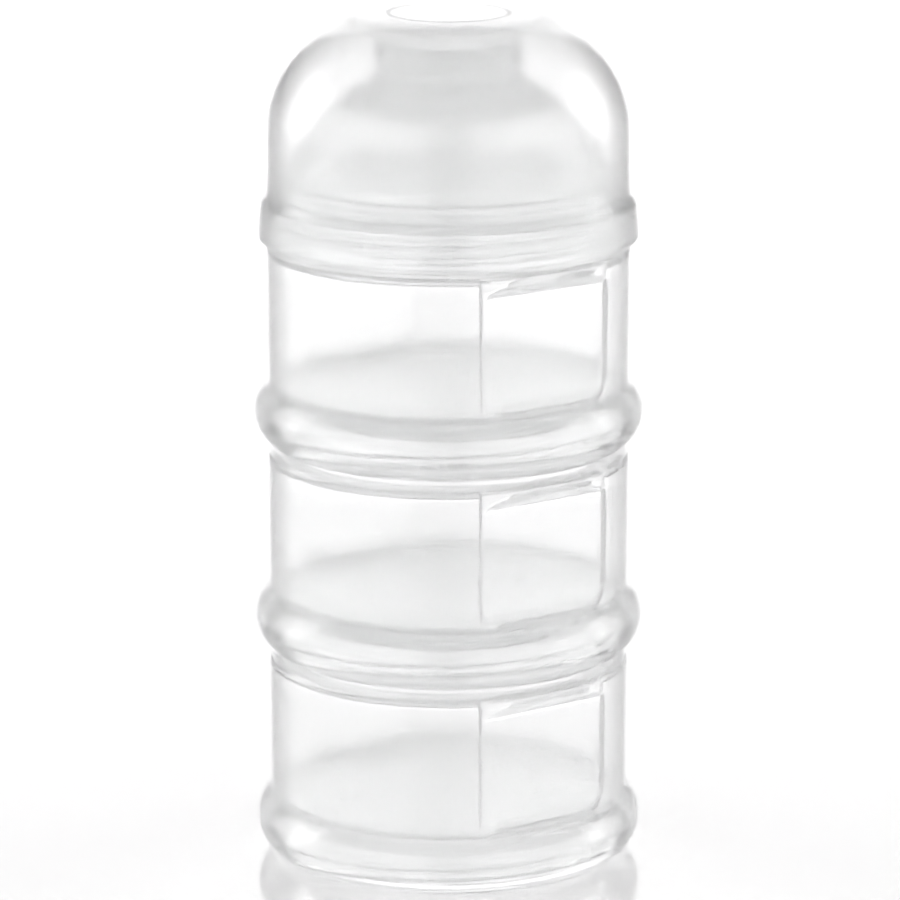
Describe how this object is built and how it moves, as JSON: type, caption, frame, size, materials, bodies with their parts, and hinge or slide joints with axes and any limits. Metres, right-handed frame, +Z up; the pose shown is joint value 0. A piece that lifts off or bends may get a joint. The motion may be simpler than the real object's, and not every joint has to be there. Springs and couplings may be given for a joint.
{
  "type": "formula dispenser",
  "caption": "Stacking milk powder dispenser: screw-together translucent jars with bulged base rings and grip flats, a funnel spout and a push-on domed cover.",
  "frame": {"origin": "centre of the bottom jar's standing face", "axes": "+Z up along the common screw axis; the grip flats of every jar face +Y and -Y at rest"},
  "size_m": [0.072, 0.072, 0.159],
  "materials": {
    "jar_plastic": "frosted translucent polypropylene, smooth",
    "cover_plastic": "clear translucent polypropylene, polished",
    "spout_plastic": "translucent polypropylene, smooth",
    "seal_silicone": "clear silicone, satin"
  },
  "bodies": {
    "lower_jar": {"lower_jar": "jar_plastic"},
    "lower_seal": {"lower_seal": "seal_silicone"},
    "middle_jar": {"middle_jar": "jar_plastic"},
    "middle_seal": {"middle_seal": "seal_silicone"},
    "upper_jar": {"upper_jar": "jar_plastic"},
    "upper_seal": {"upper_seal": "seal_silicone"},
    "pouring_spout": {"pouring_spout": "spout_plastic"},
    "dome_cover": {"dome_cover": "cover_plastic"}
  },
  "joints": [
    {"name": "middle_jar_lift", "type": "slide", "parent": "lower_jar", "child": "lower_seal", "axis": [0, 0, 1], "range_m": [0, 0.00543]},
    {"name": "middle_jar_turn", "type": "hinge", "parent": "lower_seal", "child": "middle_jar", "pos_m": [0, 0, 0.04217], "axis": [0, 0, 1], "range_deg": [0, 630]},
    {"name": "upper_jar_lift", "type": "slide", "parent": "middle_jar", "child": "middle_seal", "axis": [0, 0, 1], "range_m": [0, 0.00543]},
    {"name": "upper_jar_turn", "type": "hinge", "parent": "middle_seal", "child": "upper_jar", "pos_m": [0, 0, 0.08135], "axis": [0, 0, 1], "range_deg": [0, 630]},
    {"name": "pouring_spout_lift", "type": "slide", "parent": "upper_jar", "child": "upper_seal", "axis": [0, 0, 1], "range_m": [0, 0.00543]},
    {"name": "pouring_spout_turn", "type": "hinge", "parent": "upper_seal", "child": "pouring_spout", "pos_m": [0, 0, 0.12052], "axis": [0, 0, 1], "range_deg": [0, 630]},
    {"name": "dome_lift", "type": "slide", "parent": "pouring_spout", "child": "dome_cover", "axis": [0, 0, 1], "range_m": [0, 0.045]}
  ],
  "couplings": [
    {"joint": "middle_jar_lift", "follows": "middle_jar_turn", "m_per_rad": 0.00049338},
    {"joint": "upper_jar_lift", "follows": "upper_jar_turn", "m_per_rad": 0.00049338},
    {"joint": "pouring_spout_lift", "follows": "pouring_spout_turn", "m_per_rad": 0.00049338}
  ]
}
